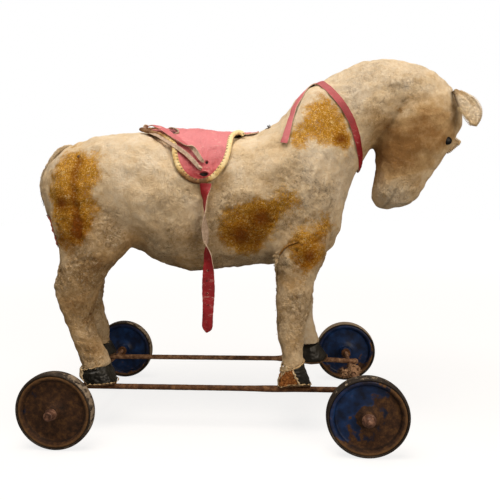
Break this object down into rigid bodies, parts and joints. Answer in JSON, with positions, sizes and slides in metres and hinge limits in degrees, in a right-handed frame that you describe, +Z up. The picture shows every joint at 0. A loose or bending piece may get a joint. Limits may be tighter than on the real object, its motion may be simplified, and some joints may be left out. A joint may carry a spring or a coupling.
{
  "type": "toy horse on wheels",
  "caption": "Stuffed plush toy horse with a leather saddle and loose straps, standing on an iron rod frame with rubber-tyred steel wheels.",
  "frame": {"origin": "on the floor under the middle of the object's box", "axes": "+X the way the horse faces, +Y its left side, +Z up"},
  "size_m": [0.7376, 0.3778, 0.599],
  "materials": {
    "plush": "worn cream mohair plush with tan patches",
    "stuffing": "packed wood wool",
    "red_leather": "scuffed red split leather",
    "binding": "cream cloth binding, hand stitched",
    "oilcloth": "black oilcloth, cracked",
    "sole": "worn sole leather",
    "painted_steel": "navy blue enamel, rusted through",
    "rusty_iron": "brown rusted iron bar",
    "tyre_rubber": "old grey black rubber",
    "eye_glass": "polished black",
    "twine": "frayed hemp twine",
    "buckle": "tarnished steel wire"
  },
  "bodies": {
    "horse": {"front_right_axle_cap": "rusty_iron", "front_left_axle_cap": "rusty_iron", "rear_right_axle_cap": "rusty_iron", "rear_left_axle_cap": "rusty_iron", "front_right_axle_washer": "rusty_iron", "front_left_axle_washer": "rusty_iron", "rear_right_axle_washer": "rusty_iron", "rear_left_axle_washer": "rusty_iron", "front_axle": "rusty_iron", "rear_axle": "rusty_iron", "right_frame_rod": "rusty_iron", "left_frame_rod": "rusty_iron", "axle_twine": "twine", "right_fore_leg_iron": "rusty_iron", "left_fore_leg_iron": "rusty_iron", "right_hind_leg_iron": "rusty_iron", "left_hind_leg_iron": "rusty_iron", "fore_cross_bar": "rusty_iron", "hind_cross_bar": "rusty_iron", "spine_bar": "rusty_iron", "torso_stuffing": "stuffing", "neck_and_head_stuffing": "stuffing", "right_fore_leg_stuffing": "stuffing", "left_fore_leg_stuffing": "stuffing", "right_hind_leg_stuffing": "stuffing", "left_hind_leg_stuffing": "stuffing", "right_plush_side": "plush", "left_plush_side": "plush", "plush_belly_gusset": "plush", "plush_head_gusset": "plush", "right_fore_hoof": "oilcloth", "left_fore_hoof": "oilcloth", "right_hind_hoof": "oilcloth", "left_hind_hoof": "oilcloth", "right_fore_hoof_sole": "sole", "left_fore_hoof_sole": "sole", "right_hind_hoof_sole": "sole", "left_hind_hoof_sole": "sole", "right_ear": "plush", "left_ear": "plush", "right_eye": "eye_glass", "left_eye": "eye_glass", "saddle_leather": "red_leather", "right_saddle_binding": "binding", "left_saddle_binding": "binding", "stirrup_strap": "red_leather", "neck_strap": "red_leather", "rein_end": "red_leather"},
    "front_right_wheel": {"front_right_wheel": "painted_steel", "front_right_tyre": "tyre_rubber"},
    "front_left_wheel": {"front_left_wheel": "painted_steel", "front_left_tyre": "tyre_rubber"},
    "rear_right_wheel": {"rear_right_wheel": "painted_steel", "rear_right_tyre": "tyre_rubber"},
    "rear_left_wheel": {"rear_left_wheel": "painted_steel", "rear_left_tyre": "tyre_rubber"},
    "tail": {"tail": "plush"},
    "right_girth": {"right_girth_strap": "red_leather"},
    "left_girth": {"left_girth_strap": "red_leather", "girth_buckle": "buckle"}
  },
  "joints": [
    {"name": "front_right_wheel_spin", "type": "hinge", "parent": "horse", "child": "front_right_wheel", "pos_m": [0.1807, -0.1636, 0.06], "axis": [0, 1, 0], "continuous": true},
    {"name": "front_left_wheel_spin", "type": "hinge", "parent": "horse", "child": "front_left_wheel", "pos_m": [0.1807, 0.1636, 0.06], "axis": [0, 1, 0], "continuous": true},
    {"name": "rear_right_wheel_spin", "type": "hinge", "parent": "horse", "child": "rear_right_wheel", "pos_m": [-0.2853, -0.1636, 0.06], "axis": [0, 1, 0], "continuous": true},
    {"name": "rear_left_wheel_spin", "type": "hinge", "parent": "horse", "child": "rear_left_wheel", "pos_m": [-0.2853, 0.1636, 0.06], "axis": [0, 1, 0], "continuous": true},
    {"name": "tail_lift", "type": "hinge", "parent": "horse", "child": "tail", "pos_m": [-0.3143, 0, 0.472], "axis": [0, 1, 0], "range_deg": [0, 60]},
    {"name": "right_girth_swing", "type": "hinge", "parent": "horse", "child": "right_girth", "pos_m": [-0.0593, -0.1118, 0.394], "axis": [1, 0, 0], "range_deg": [-75, 0]},
    {"name": "left_girth_swing", "type": "hinge", "parent": "horse", "child": "left_girth", "pos_m": [-0.0593, 0.1118, 0.394], "axis": [1, 0, 0], "range_deg": [0, 75]}
  ]
}
